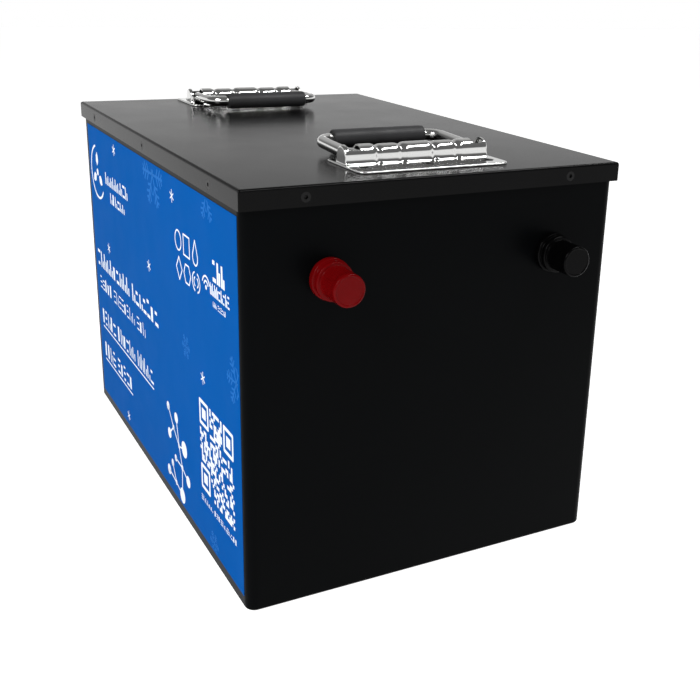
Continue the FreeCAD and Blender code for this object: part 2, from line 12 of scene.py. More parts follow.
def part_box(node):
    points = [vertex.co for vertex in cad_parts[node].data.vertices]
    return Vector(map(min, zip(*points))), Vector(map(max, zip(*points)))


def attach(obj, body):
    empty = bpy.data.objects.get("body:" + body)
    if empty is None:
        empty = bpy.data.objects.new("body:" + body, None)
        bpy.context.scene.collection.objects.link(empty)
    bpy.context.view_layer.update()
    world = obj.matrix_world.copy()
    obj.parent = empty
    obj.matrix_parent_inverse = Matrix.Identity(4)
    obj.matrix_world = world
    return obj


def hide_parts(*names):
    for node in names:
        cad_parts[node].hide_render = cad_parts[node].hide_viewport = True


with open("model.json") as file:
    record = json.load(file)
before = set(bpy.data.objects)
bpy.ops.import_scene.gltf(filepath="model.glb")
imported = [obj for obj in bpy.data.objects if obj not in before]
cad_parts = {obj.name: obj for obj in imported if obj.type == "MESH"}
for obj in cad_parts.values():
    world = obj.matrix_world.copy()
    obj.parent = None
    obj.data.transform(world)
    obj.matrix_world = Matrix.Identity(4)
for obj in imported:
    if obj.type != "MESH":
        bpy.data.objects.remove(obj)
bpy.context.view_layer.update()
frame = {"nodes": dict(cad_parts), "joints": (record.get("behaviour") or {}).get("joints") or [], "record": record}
NODES = frame["nodes"]
MM = 0.001


def box_mm(node):
    """Low and high corner of a CAD node in millimetres."""
    low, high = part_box(node)
    return low / MM, high / MM


# Camera ------------------------------------------------------------------------------------------
def aim_camera():
    """Camera fitted to the corners of the case in the photograph."""
    yaw, pitch, roll = 0.5112, -0.3233, 0.0338
    place = Vector((-0.3261, -0.7348, 0.3954))
    forward = Vector((math.sin(yaw) * math.cos(pitch), math.cos(yaw) * math.cos(pitch), math.sin(pitch)))
    level = Vector((math.cos(yaw), -math.sin(yaw), 0.0))
    upright = level.cross(forward)
    right = level * math.cos(roll) + upright * math.sin(roll)
    up = upright * math.cos(roll) - level * math.sin(roll)
    data = bpy.data.cameras.new("camera")
    data.lens = 52.5
    data.sensor_width = 36.0
    data.shift_x = -0.0784
    data.shift_y = -0.0530
    data.clip_start = 0.01
    camera = bpy.data.objects.new("camera", data)
    turn = Matrix((right, up, -forward)).transposed()
    camera.matrix_world = Matrix.Translation(place) @ turn.to_4x4()
    bpy.context.scene.collection.objects.link(camera)
    bpy.context.scene.camera = camera


# Light and floor -----------------------------------------------------------------------------------
def mapped(tree, value, start, end, low, high, smooth=False):
    """Output socket of a node that maps start..end to low..high."""
    ramp = tree.nodes.new("ShaderNodeMapRange")
    if smooth:
        ramp.interpolation_type = "SMOOTHSTEP"
    ramp.inputs["From Min"].default_value = start
    ramp.inputs["From Max"].default_value = end
    ramp.inputs["To Min"].default_value = low
    ramp.inputs["To Max"].default_value = high
    tree.links.new(value, ramp.inputs["Value"])
    return ramp.outputs["Result"]


def area_light(name, place, target, size, power):
    data = bpy.data.lights.new(name, "AREA")
    data.shape = "RECTANGLE"
    data.size, data.size_y = size
    data.energy = power
    light = bpy.data.objects.new(name, data)
    light.location = place
    light.rotation_euler = (Vector(target) - Vector(place)).to_track_quat("-Z", "Y").to_euler()
    bpy.context.scene.collection.objects.link(light)


FAR_SIDE = (0.44, 0.81, 0.39)     # towards the wall that the lid mirrors
FAR_SPREAD = (0.62, 0.95)         # cosine off that direction where the wall starts and is full
WALL_TOP = (0.12, 0.28)           # rise of a direction where the white walls start and end their fade
FAR_LEVEL, DIM_LEVEL = 0.48, 0.14


def light_studio():
    """White walls up to about ten degrees, half-bright upper walls behind the object and a dim ceiling."""
    world = bpy.data.worlds.new("studio")
    bpy.context.scene.world = world
    world.use_nodes = True
    tree = world.node_tree
    tree.nodes["Background"].inputs["Color"].default_value = (1.0, 1.0, 1.0, 1.0)
    where = tree.nodes.new("ShaderNodeTexCoord").outputs["Generated"]
    towards = tree.nodes.new("ShaderNodeVectorMath")
    towards.operation = "DOT_PRODUCT"
    towards.inputs[1].default_value = FAR_SIDE
    tree.links.new(where, towards.inputs[0])
    height = tree.nodes.new("ShaderNodeSeparateXYZ")
    tree.links.new(where, height.inputs["Vector"])
    level = tree.nodes.new("ShaderNodeMath")
    level.operation = "MAXIMUM"
    upper = mapped(tree, towards.outputs["Value"], *FAR_SPREAD, DIM_LEVEL, FAR_LEVEL, smooth=True)
    walls = mapped(tree, height.outputs["Z"], *WALL_TOP, 1.0, 0.0, smooth=True)
    tree.links.new(upper, level.inputs[0])
    tree.links.new(walls, level.inputs[1])
    tree.links.new(level.outputs["Value"], tree.nodes["Background"].inputs["Strength"])
    area_light("key", (-1.5, -0.7, 1.5), (-0.1, 0, 0.15), (1.0, 0.8), 27.0)
    area_light("strip", (0.69, -0.63, 1.53), (0, -0.15, 0.28), (1.5, 0.14), 14.0)
    bpy.context.scene.view_settings.view_transform = "Standard"


def lay_floor():
    """One large pale floor that is part of the stage."""
    mesh = bpy.data.meshes.new("studio_floor")
    half = 6.0
    mesh.from_pydata([(-half, -half, 0), (half, -half, 0), (half, half, 0), (-half, half, 0)], [],
                     [(0, 1, 2, 3)])
    floor = bpy.data.objects.new("studio_floor", mesh)
    bpy.context.scene.collection.objects.link(floor)
    floor.data.materials.append(plain_floor())


# Materials -----------------------------------------------------------------------------------------
class Shader:
    """Small builder round one Principled material with object-space procedural detail."""

    def __init__(self, name, colour, roughness, metallic=0.0, ior=1.5):
        self.material = bpy.data.materials.new(name)
        self.material.use_nodes = True
        self.tree = self.material.node_tree
        self.surface = self.tree.nodes["Principled BSDF"]
        self.colour = colour + (1.0,)
        self.set("Base Color", self.colour)
        self.set("Roughness", roughness)
        self.set("Metallic", metallic)
        self.set("IOR", ior)
        self.where = self.tree.nodes.new("ShaderNodeTexCoord").outputs["Object"]
        self.normal = None

    def set(self, socket, value):
        self.surface.inputs[socket].default_value = value

    def noise(self, scale, detail=3.0, stretch=(1, 1, 1)):
        """Noise with scale features per metre, stretched along an axis by a factor under 1."""
        mapping = self.tree.nodes.new("ShaderNodeMapping")
        mapping.inputs["Scale"].default_value = stretch
        self.tree.links.new(self.where, mapping.inputs["Vector"])
        noise = self.tree.nodes.new("ShaderNodeTexNoise")
        noise.inputs["Scale"].default_value = scale
        noise.inputs["Detail"].default_value = detail
        self.tree.links.new(mapping.outputs["Vector"], noise.inputs["Vector"])
        return noise.outputs["Fac"]

    def span(self, value, low, high, start=0.3, end=0.7):
        return mapped(self.tree, value, start, end, low, high)

    def vary_roughness(self, value, low, high):
        self.tree.links.new(self.span(value, low, high), self.surface.inputs["Roughness"])

    def vary_colour(self, value, other):
        mix = self.tree.nodes.new("ShaderNodeMix")
        mix.data_type = "RGBA"
        mix.inputs["A"].default_value = self.colour
        mix.inputs["B"].default_value = other + (1.0,)
        self.tree.links.new(self.span(value, 0.0, 1.0), mix.inputs["Factor"])
        self.tree.links.new(mix.outputs["Result"], self.surface.inputs["Base Color"])

    def bump(self, value, depth):
        """Surface relief of a depth in millimetres."""
        bump = self.tree.nodes.new("ShaderNodeBump")
        bump.inputs["Distance"].default_value = depth * MM
        bump.inputs["Strength"].default_value = 1.0
        self.tree.links.new(value, bump.inputs["Height"])
        if self.normal:
            self.tree.links.new(self.normal, bump.inputs["Normal"])
        self.normal = bump.outputs["Normal"]
        self.tree.links.new(self.normal, self.surface.inputs["Normal"])


def plain_floor():
    """Pale floor that glows a little, so that it stays white out to the horizon."""
    shader = Shader("floor_pale", (0.80, 0.80, 0.80), 0.7, ior=1.2)
    shader.set("Emission Color", (1.0, 1.0, 1.0, 1.0))
    shader.set("Emission Strength", 0.80)
    shader.vary_roughness(shader.noise(6), 0.65, 0.75)
    return shader.material


def powder_coat(name, colour, roughness, ior):
    """Fine satin powder coat: orange peel a millimetre across and a finer grain on top."""
    shader = Shader(name, colour, roughness, ior=ior)
    shader.vary_roughness(shader.noise(22), roughness - 0.01, roughness + 0.015)
    shader.vary_colour(shader.noise(9), tuple(c * 1.15 for c in colour))
    shader.bump(shader.noise(700, 2.0), 0.006)
    shader.bump(shader.noise(3200, 2.0), 0.003)
    return shader.material


def plated(name, colour, roughness):
    """Bright plating over pressed steel, with faint draw marks and handling haze."""
    shader = Shader(name, colour, roughness, metallic=1.0)
    shader.vary_roughness(shader.noise(60), roughness * 0.8, roughness * 1.3)
    shader.bump(shader.noise(90, 1.0, (0.3, 1, 1)), 0.003)
    return shader.material


def moulded(name, colour, roughness, grain=0.006, ior=1.45):
    """Moulded plastic, rubber or foam with a fine grain of a depth in millimetres."""
    shader = Shader(name, colour, roughness, ior=ior)
    shader.vary_roughness(shader.noise(80), roughness - 0.04, roughness + 0.06)
    shader.vary_colour(shader.noise(40), tuple(c * 0.75 for c in colour))
    shader.bump(shader.noise(2600, 2.0), grain)
    return shader.material


def brushed(name, colour, roughness):
    """Machined or rolled bare metal with fine lines along X."""
    shader = Shader(name, colour, roughness, metallic=1.0)
    shader.vary_roughness(shader.noise(120), roughness - 0.05, roughness + 0.08)
    shader.vary_colour(shader.noise(25), tuple(c * 0.8 for c in colour))
    shader.bump(shader.noise(900, 2.0, (0.05, 1, 1)), 0.01)
    return shader.material


def printed_film(name, colour):
    """Vinyl print: slight ink mottling, satin skin and faint adhesive waves."""
    shader = Shader(name, colour, 0.5, ior=1.03)
    shader.vary_roughness(shader.noise(50), 0.46, 0.56)
    shader.vary_colour(shader.noise(18), tuple(c * 0.97 for c in colour))
    shader.bump(shader.noise(55, 1.0), 0.006)
    shader.bump(shader.noise(2400, 1.0), 0.002)
    return shader.material


LABEL_BLUE = (0.0, 0.084, 0.345)


def make_materials():
    """Every finish by name. The names are the record's slots, and two more inks for the label."""
    return {
        # One black paint in two copies: case_paint is darker and less glossy, painted shade that keeps the case's
        # unlit front faces near black; lid_paint is the lit copy
        "case_paint": powder_coat("case_paint", (0.0010, 0.0012, 0.0014), 0.34, 1.09),
        "lid_paint": powder_coat("lid_paint", (0.0026, 0.0026, 0.0027), 0.20, 1.14),
        "label_film": printed_film("label_film", LABEL_BLUE),
        "label_white": printed_film("label_white", (0.80, 0.84, 0.88)),
        "label_pale": printed_film("label_pale", (0.02, 0.145, 0.47)),
        "handle_chrome": plated("handle_chrome", (0.74, 0.74, 0.73), 0.11),
        "grip_rubber": moulded("grip_rubber", (0.036, 0.036, 0.038), 0.45, 0.010, 1.35),
        "black_fastener": moulded("black_fastener", (0.003, 0.003, 0.0032), 0.40, 0.008, 1.25),
        "zinc_steel": brushed("zinc_steel", (0.62, 0.62, 0.61), 0.30),
        "spring_steel": brushed("spring_steel", (0.40, 0.40, 0.41), 0.28),
        "red_plastic": moulded("red_plastic", (0.125, 0.0010, 0.0016), 0.20, 0.003, 1.13),
        "black_plastic": moulded("black_plastic", (0.0010, 0.0010, 0.0011), 0.20, 0.003, 1.13),
        "brass": brushed("brass", (0.70, 0.50, 0.22), 0.25),
        "cell_wrap": moulded("cell_wrap", (0.02, 0.10, 0.36), 0.30, 0.004),
        "copper_bar": brushed("copper_bar", (0.74, 0.70, 0.66), 0.25),
        "epoxy_board": moulded("epoxy_board", (0.55, 0.58, 0.30), 0.55),
        "foam": moulded("foam", (0.03, 0.03, 0.032), 0.85, 0.08, 1.3),
        "heater_silicone": moulded("heater_silicone", (0.50, 0.12, 0.04), 0.6),
        "plate_aluminium": brushed("plate_aluminium", (0.76, 0.77, 0.78), 0.32),
        "board_green": moulded("board_green", (0.02, 0.14, 0.06), 0.40),
        "red_lead": moulded("red_lead", (0.34, 0.012, 0.012), 0.5),
        "black_lead": moulded("black_lead", (0.012, 0.012, 0.013), 0.5),
    }


def finish_cad_nodes(materials):
    """Give each CAD node the finish of its slot in the record."""
    for part in frame["record"]["subparts"]:
        node = NODES[part["node"]]
        for slot in node.material_slots:
            slot.material = materials[part["material_slot"]]


# Mesh helpers ----------------------------------------------------------------------------------------
def make_piece(name, points, faces, material, body, smooth_angle=35.0):
    """Closed mesh from points in millimetres, shaded smooth up to an angle, riding on a body."""
    mesh = bpy.data.meshes.new(name)
    mesh.from_pydata([Vector(p) * MM for p in points], [], faces)
    shell = bmesh.new()
    shell.from_mesh(mesh)
    bmesh.ops.recalc_face_normals(shell, faces=shell.faces)
    shell.to_mesh(mesh)
    shell.free()
    piece = bpy.data.objects.new(name, mesh)
    bpy.context.scene.collection.objects.link(piece)
    mesh.materials.append(MATERIALS[material])
    shade_smooth(mesh, smooth_angle)
    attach(piece, body)
    return piece


def shade_smooth(mesh, angle):
    mesh.shade_smooth()
    mesh.set_sharp_from_angle(angle=math.radians(angle))


def lathe(profile, steps=96, ribs=None):
    """Closed turned shape about +Z from (radius, height) points. A point with radius 0 is a pole.
    ribs(radius, height, angle) gives how much is taken off the radius."""
    points, rows, faces = [], [], []
    for radius, height in profile:
        if radius == 0:
            points.append((0, 0, height))
            rows.append([len(points) - 1] * steps)
            continue
        row = []
        for step in range(steps):
            angle = 2 * math.pi * step / steps
            r = radius - (ribs(radius, height, angle) if ribs else 0)
            points.append((r * math.cos(angle), r * math.sin(angle), height))
            row.append(len(points) - 1)
        rows.append(row)
    closed = profile[0][0] != 0
    last = len(rows) if closed else len(rows) - 1
    for index in range(last):
        low, high = rows[index], rows[(index + 1) % len(rows)]
        for step in range(steps):
            ahead = (step + 1) % steps
            face = [low[step], low[ahead], high[ahead], high[step]]
            face = list(dict.fromkeys(face))
            if len(face) > 2:
                faces.append(face)
    return points, faces


def rounded(profile, corners, steps=5):
    """Replace each listed corner of an open profile by an arc-like curve of the given radius."""
    result = []
    for index, point in enumerate(profile):
        radius = corners.get(index)
        if not radius:
            result.append(point)
            continue
        here = Vector(point)
        before = (Vector(profile[index - 1]) - here).normalized() * radius
        after = (Vector(profile[(index + 1) % len(profile)]) - here).normalized() * radius
        for step in range(steps + 1):
            t = step / steps
            result.append(tuple(here + before * (1 - t) ** 2 + after * t ** 2))
    return result


def swept(path, normal, radius, steps=28):
    """Round bar along a flat path with a given plane normal; both ends are closed."""
    points, faces = [], []
    count = len(path)
    for index, place in enumerate(path):
        ahead = path[min(index + 1, count - 1)]
        behind = path[max(index - 1, 0)]
        side = (ahead - behind).normalized().cross(normal)
        for step in range(steps):
            angle = 2 * math.pi * step / steps
            points.append(place + (side * math.cos(angle) + normal * math.sin(angle)) * radius)
    for index in range(count - 1):
        for step in range(steps):
            a, b = index * steps + step, index * steps + (step + 1) % steps
            faces.append((a, b, b + steps, a + steps))
    faces.append(tuple(range(steps))[::-1])
    faces.append(tuple(range((count - 1) * steps, count * steps)))
    return points, faces


# Handles ---------------------------------------------------------------------------------------------
LID_TOP = box_mm("lid")[1].z
JOINTS = {joint["name"]: joint for joint in frame["joints"]}
ROD = 4.0
PLATE = 1.6


class Handle:
    """One chest handle. Local axes: X along the hinge, Y towards the middle of the lid, Z up from it."""

    def __init__(self, end):
        joint = JOINTS[end + "_bail_hinge"]
        self.end = end
        self.axis = Vector(joint["pos_m"]) / MM
        self.turn = 1 if joint["axis"][0] > 0 else -1
        self.hinge_height = self.axis.z - LID_TOP
        low, high = box_mm(end + "_handle_grip")
        self.reach = abs((low.y + high.y) / 2 - self.axis.y)
        self.rise = (low.z + high.z) / 2 - self.axis.z

    def place(self, point):
        x, y, z = point
        return Vector((self.axis.x + self.turn * x, self.axis.y + self.turn * y, LID_TOP + z))

    def place_all(self, shape):
        points, faces = shape
        return [self.place(p) for p in points], faces


def rounded_rectangle(x0, x1, y0, y1, radius, inset, steps=8):
    """Outline with rounded corners, moved inwards by the inset."""
    points = []
    reach = radius - inset
    for cx, cy, start in ((x1 - radius, y1 - radius, 0), (x0 + radius, y1 - radius, 90),
                          (x0 + radius, y0 + radius, 180), (x1 - radius, y0 + radius, 270)):
        for step in range(steps + 1):
            angle = math.radians(start + 90 * step / steps)
            points.append((cx + reach * math.cos(angle), cy + reach * math.sin(angle)))
    return points


def stacked(outline, levels):
    """Closed slab from an outline function of the inset, over (height, inset) levels."""
    points, faces = [], []
    for height, inset in levels:
        points += [(x, y, height) for x, y in outline(inset)]
    count = len(points) // len(levels)
    for level in range(len(levels) - 1):
        for step in range(count):
            a, b = level * count + step, level * count + (step + 1) % count
            faces.append((a, b, b + count, a + count))
    faces.append(tuple(range(count))[::-1])
    faces.append(tuple(range(len(points) - count, len(points))))
    return points, faces


def subtract(piece, cutters):
    """Take closed cutter shapes out of a piece for good."""
    for points, faces in cutters:
        mesh = bpy.data.meshes.new("cutter")
        mesh.from_pydata([Vector(p) * MM for p in points], [], faces)
        cutter = bpy.data.objects.new("cutter", mesh)
        bpy.context.scene.collection.objects.link(cutter)
        step = piece.modifiers.new("cut", "BOOLEAN")
        step.operation = "DIFFERENCE"
        step.solver = "EXACT"
        step.object = cutter
        bake_modifiers(piece)
        bpy.data.objects.remove(cutter)
        bpy.data.meshes.remove(mesh)


def bake_modifiers(piece):
    """Make a piece's modifiers part of its mesh."""
    graph = bpy.context.evaluated_depsgraph_get()
    mesh = bpy.data.meshes.new_from_object(piece.evaluated_get(graph))
    piece.modifiers.clear()
    old = piece.data
    piece.data = mesh
    bpy.data.meshes.remove(old)


BARREL_END = 53.0
SLOT_FROM, SLOT_TO = 41.5, 50.5
SLOT_BACK = -5.6
GROOVES = (11.75, 29.5)      # distance of the grooves from the middle of the barrel
GROOVE_WIDTH = 2.0
END_ROUNDING = 1.6


def barrel_radius(x):
    """Pressed barrel: tall end and middle segments, lower ones between, soft valleys at the grooves."""
    distance = abs(x)
    low = 1.0 if GROOVES[0] < distance < GROOVES[1] else 0.0
    for groove in GROOVES:
        blend = min(1.0, abs(distance - groove) / 1.6)
        if blend < 1.0:
            side = low
            low = 0.5 + (side - 0.5) * blend
    radius = 7.0 - 0.45 * low
    for groove in GROOVES:
        radius -= 1.05 * math.exp(-((distance - groove) / GROOVE_WIDTH) ** 2)
    past = distance - (BARREL_END - END_ROUNDING)
    if past > 0:
        radius -= END_ROUNDING - math.sqrt(max(0.0, END_ROUNDING ** 2 - past ** 2))
    return radius


def barrel_outline(radius, hinge_height, flare):
    """Half-tube section standing on the plate with flared feet, from the inner foot to the outer."""
    arc_steps, foot_steps = 24, 7
    foot = []
    for step in range(foot_steps):
        t = step / foot_steps
        y = (radius + flare) * (1 - t) ** 2 + 2 * (radius + 0.35) * t * (1 - t) + radius * t ** 2
        z = (PLATE - 0.2) * (1 - t) ** 2 + 2 * (PLATE + 0.1) * t * (1 - t) + hinge_height * t ** 2
        foot.append((y, z))
    turns = [math.pi * step / arc_steps for step in range(arc_steps + 1)]
    arc = [(radius * math.cos(turn), hinge_height + radius * math.sin(turn)) for turn in turns]
    return foot + arc + [(-y, z) for y, z in reversed(foot)]


def barrel_stations():
    """Places along the barrel, with one at each end of both slots."""
    inner = [SLOT_FROM * i / 64 for i in range(65)]
    slot = [SLOT_FROM + (SLOT_TO - SLOT_FROM) * i / 10 for i in range(1, 11)]
    tip = [BARREL_END - END_ROUNDING * (1 - math.sin(math.pi / 2 * i / 7)) for i in range(8)]
    half = inner + slot + tip
    return [-x for x in reversed(half[1:])] + half


def pressed_barrel(handle):
    """Thin pressed half-tube with closed ends, open where the bail's arms pass."""
    stations = barrel_stations()
    points, faces = [], []
    for x in stations:
        radius = barrel_radius(x)
        points += [(x, y, z) for y, z in barrel_outline(radius, handle.hinge_height, 1.9)]
    width = len(points) // len(stations)
    for i in range(len(stations) - 1):
        middle = abs(stations[i] + stations[i + 1]) / 2
        for j in range(width - 1):
            a = i * width + j
            y = (points[a][1] + points[a + 1][1]) / 2
            if SLOT_FROM < middle < SLOT_TO and y > SLOT_BACK:
                continue
            faces.append((a, a + 1, a + 1 + width, a + width))
    for start in (0, len(points) - width):
        faces.append(tuple(range(start, start + width)))
    return points, faces


def build_plate(handle):
    """Stamped plate with three dished holes and its barrel, in place of the CAD plate."""
    name = handle.end + "_handle_plate"
    low, high = box_mm(name)
    outer = abs(low.y - handle.axis.y) if handle.turn > 0 else abs(high.y - handle.axis.y)
    inner = high.y - low.y - outer
    half = (high.x - low.x) / 2

    def outline(inset):
        return rounded_rectangle(-half, half, -outer, inner, 6.0, inset)

    levels = [(0, 0.25), (0.2, 0.05), (0.45, 0), (1.0, 0), (1.25, 0.08), (1.45, 0.28), (1.56, 0.5),
              (PLATE, 0.8)]
    plate = make_piece(name + "_base", *handle.place_all(stacked(outline, levels)),
                       "handle_chrome", "pack")
    hole = [(0, -1.0), (2.6, -1.0), (2.6, 0.35), (4.25, 1.35), (5.2, 1.62), (5.2, 3.0), (0, 3.0)]
    cutters = []
    for index in (-1, 0, 1):
        points, faces = lathe(hole, 40)
        moved = [handle.place((x + index * 45.0, y - 19.0, z)) for x, y, z in points]
        cutters.append((moved, faces))
    subtract(plate, cutters)
    shade_smooth(plate.data, 30)
    flat = plate.modifiers.new("flat_faces", "WEIGHTED_NORMAL")
    flat.keep_sharp = True
    bake_modifiers(plate)
    shell = handle.place_all(pressed_barrel(handle))
    barrel = make_piece(name + "_barrel", *shell, "handle_chrome", "pack")
    thick = barrel.modifiers.new("sheet", "SOLIDIFY")
    thick.thickness = 1.1 * MM
    thick.offset = -1.0
    bake_modifiers(barrel)
    shade_smooth(barrel.data, 50)
    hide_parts(name)


def bail_path(handle):
    """Centre line of the rod in the bail's own plane, hinge axis at y = 0."""
    half, reach = 46.0, handle.reach
    pin_bend, corner, inner_end = 6.0, 11.0, 0.6
    path = [(-inner_end, 0)]
    path += [(-inner_end - (half - pin_bend - inner_end) * i / 6, 0) for i in range(1, 6)]
    path += [(-half + pin_bend - pin_bend * math.sin(a), pin_bend - pin_bend * math.cos(a))
             for a in (math.pi / 2 * i / 10 for i in range(11))]
    path += [(-half + corner - corner * math.cos(a), reach - corner + corner * math.sin(a))
             for a in (math.pi / 2 * i / 14 for i in range(15))]
    mirrored = [(-x, y) for x, y in reversed(path)]
    return path + mirrored


def build_bail(handle):
    """Bent rod and its rubber sleeve, in place of the CAD bail and grip."""
    tilt = math.asin(handle.rise / handle.reach)

    def lift(x, y, z=0.0):
        return handle.place((x, y * math.cos(tilt) - z * math.sin(tilt),
                             handle.hinge_height + y * math.sin(tilt) + z * math.cos(tilt)))

    path = [lift(x, y) for x, y in bail_path(handle)]
    normal = (lift(0, 0, 1) - lift(0, 0, 0)).normalized()
    rod = make_piece(handle.end + "_bail_rod", *swept(path, normal, ROD), "handle_chrome",
                     handle.end + "_bail", 60)
    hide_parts(handle.end + "_handle_bail")

    low, high = box_mm(handle.end + "_handle_grip")
    length = high.x - low.x
    radius = (high.z - low.z) / 2
    bore = ROD - 0.05
    profile = [(bore, 0.9), (5.3, 0.0), (radius - 0.15, 0.0), (radius, 5.0), (radius, length - 5.0),
               (radius - 0.15, length), (5.3, length), (bore, length - 0.9)]
    profile = rounded(profile, {1: 0.4, 2: 0.9, 5: 0.9, 6: 0.4})
    points, faces = lathe(profile, 72)
    sleeve = [lift(z - length / 2, handle.reach + x, y) for x, y, z in points]
    grip = make_piece(handle.end + "_grip_sleeve", sleeve, faces, "grip_rubber", handle.end + "_bail", 40)
    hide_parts(handle.end + "_handle_grip")


# Terminals -------------------------------------------------------------------------------------------
CAP_RIBS = 44
RIB_FROM, RIB_TO = 10.8, 25.5       # ribbed length of a cap, measured off the case
RIB_DEPTH = 0.2
CAP_BODY, CAP_BORE = 10.3, 8.3      # radii
CAP_WALL = 1.8
SPIGOT_END = 9.5
STUD_BORE = 4.05


def cap_ribs(radius, height, angle):
    """Fine lengthwise ribs on the gripping part of a cap."""
    if radius < CAP_BODY - 0.8 or not RIB_FROM <= height <= RIB_TO:
        return 0.0
    return RIB_DEPTH / 2 * (1 + math.cos(CAP_RIBS * angle))


def build_terminal(pole, material):
    """Cap and collar of one terminal. Heights in their profiles are measured off the case."""
    low, high = box_mm(pole + "_terminal_cap")
    x, z = (low.x + high.x) / 2, (low.z + high.z) / 2
    face = box_mm("case_tub")[0].y
    flange = (high.x - low.x) / 2
    tip = face - low.y
    start = face - high.y
    collar_low, collar_high = box_mm(pole + "_terminal_collar")
    collar = (collar_high.x - collar_low.x) / 2

    def outwards(shape):
        points, faces = shape
        return [(x + px, face - pz, z + py) for px, py, pz in points], faces

    body, bore = CAP_BODY, CAP_BORE
    profile = [(bore, start), (flange, start), (flange, SPIGOT_END), (body, 9.7), (body, 10.7),
               (body, RIB_FROM), (body, 14.0), (body, 18.0), (body, 22.0), (body, RIB_TO), (body, 25.6),
               (body, tip),
               (8.9, tip), (8.5, tip - 0.35), (0, tip - 0.35)]
    profile = rounded(profile, {1: 0.5, 2: 1.0, 3: 0.4, 11: 1.3, 12: 0.25})
    profile += [(0, tip - CAP_WALL), (bore, tip - CAP_WALL)]
    cup = lathe(profile, CAP_RIBS * 8, cap_ribs)
    cap = make_piece(pole + "_cap", *outwards(cup), material, pole + "_cap", 40)
    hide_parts(pole + "_terminal_cap")

    rim = start - 0.5
    spigot = bore - 0.05
    ring = [(STUD_BORE, -1.5), (7.0, -1.5), (7.0, 0.0), (collar, 0.0), (collar, rim - 1.6),
            (collar - 1.0, rim - 1.2), (collar - 1.2, rim), (spigot, rim), (spigot, SPIGOT_END),
            (STUD_BORE, SPIGOT_END)]
    ring = rounded(ring, {3: 0.2, 4: 0.5, 6: 0.5, 8: 0.4})
    base = make_piece(pole + "_collar", *outwards(lathe(ring)), material, "pack", 40)
    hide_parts(pole + "_terminal_collar")


# Label graphics -------------------------------------------------------------------------------------
# Drawn flat as (across, up) in millimetres: across grows towards the terminal end, as the label is read.
class Artwork:
    """Flat closed prisms collected into one thin piece on the label."""

    def __init__(self):
        self.points, self.faces = [], []
        self.drawn = 0
        self.face_x = box_mm("side_label")[0].x
        self.sink, self.stand = 0.05, 0.04
        self.layers, self.layer = 12, 0.003     # strokes that cross lie at different heights

    def polygon(self, outline):
        start, count = len(self.points), len(outline)
        lift = self.stand + self.layer * (self.drawn % self.layers)
        self.drawn += 1
        for x in (self.face_x + self.sink, self.face_x - lift):
            self.points += [(x, -across, up) for across, up in outline]
        self.faces.append(tuple(range(start, start + count)))
        self.faces.append(tuple(range(start + count, start + 2 * count))[::-1])
        for step in range(count):
            a, b = start + step, start + (step + 1) % count
            self.faces.append((a, b, b + count, a + count))

    def disc(self, across, up, radius, steps=28):
        self.polygon([(across + radius * math.cos(2 * math.pi * s / steps),
                       up + radius * math.sin(2 * math.pi * s / steps)) for s in range(steps)])

    def arc(self, across, up, radius, width, start=0.0, end=360.0, steps=36):
        for step in range(steps):
            a, b = (math.radians(start + (end - start) * k / steps) for k in (step, step + 1))
            inner, outer = radius - width / 2, radius + width / 2
            self.polygon([(across + r * math.cos(t), up + r * math.sin(t))
                          for r, t in ((inner, a), (outer, a), (outer, b), (inner, b))])

    def line(self, start, end, width):
        start, end = Vector(start), Vector(end)
        side = (end - start).normalized().orthogonal() * width / 2
        self.polygon([tuple(p) for p in (start - side, end - side, end + side, start + side)])

    def path(self, corners, width, closed=False):
        ends = corners[1:] + corners[:1] if closed else corners[1:]
        for start, end in zip(corners, ends):
            self.line(start, end, width)
        for corner in corners:
            self.disc(*corner, width / 2, 10)

    def rectangle(self, left, right, bottom, top):
        self.polygon([(left, bottom), (right, bottom), (right, top), (left, top)])

    def piece(self, name, material):
        return make_piece(name, self.points, self.faces, material, "pack", 20)


LABEL_LOW, LABEL_HIGH = box_mm("side_label")
LABEL_EDGE = 1.0                    # nothing is printed nearer to the label's edge


def snowflake(art, across, up, radius, width):
    """Six branched arms; strokes that leave the label are dropped."""
    top, bottom = LABEL_HIGH.z - LABEL_EDGE, LABEL_LOW.z + LABEL_EDGE
    right = -LABEL_LOW.y - LABEL_EDGE

    def stroke(start, end):
        high, low = max(start[1], end[1]), min(start[1], end[1])
        if high < top and low > bottom and max(start[0], end[0]) < right:
            art.line(start, end, width)

    for arm in range(6):
        angle = math.radians(60 * arm)
        reach = Vector((math.cos(angle), math.sin(angle)))
        centre = Vector((across, up))
        pieces = 6
        for part in range(pieces):
            stroke(centre + reach * radius * part / pieces,
                   centre + reach * radius * (part + 1) / pieces)
        for station, length in ((0.38, 0.30), (0.62, 0.32), (0.84, 0.20)):
            root = centre + reach * radius * station
            for side in (-1, 1):
                lean = angle + side * math.radians(55)
                stroke(root, root + Vector((math.cos(lean), math.sin(lean))) * radius * length)


def asterisk(art, across, up, radius):
    """Three crossed strokes."""
    for arm in range(3):
        angle = math.radians(90 + 60 * arm)
        reach = Vector((math.cos(angle), math.sin(angle))) * radius
        centre = Vector((across, up))
        art.line(centre - reach, centre + reach, radius * 0.2)


def sign(art, rng, left, bottom, width, height, stroke):
    """Plain sign that is no letter: a brick, two loose upright bars, or two or three level bars."""
    right = left + width
    kind = rng.choice(("brick", "pair", "levels", "levels", "pair"))
    if kind == "brick":
        art.rectangle(left, left + width * 0.6, bottom, bottom + height)
    elif kind == "pair":
        art.rectangle(left, left + stroke, bottom, bottom + height)
        art.rectangle(right - stroke, right, bottom, bottom + height * rng.choice((0.45, 0.6, 0.75)))
    else:
        levels = 3 if height > stroke * 5.5 else 2
        for level in range(levels):
            foot = bottom + (height - stroke) * level / (levels - 1)
            art.rectangle(left, right - width * rng.choice((0.0, 0.0, 0.35)), foot, foot + stroke)


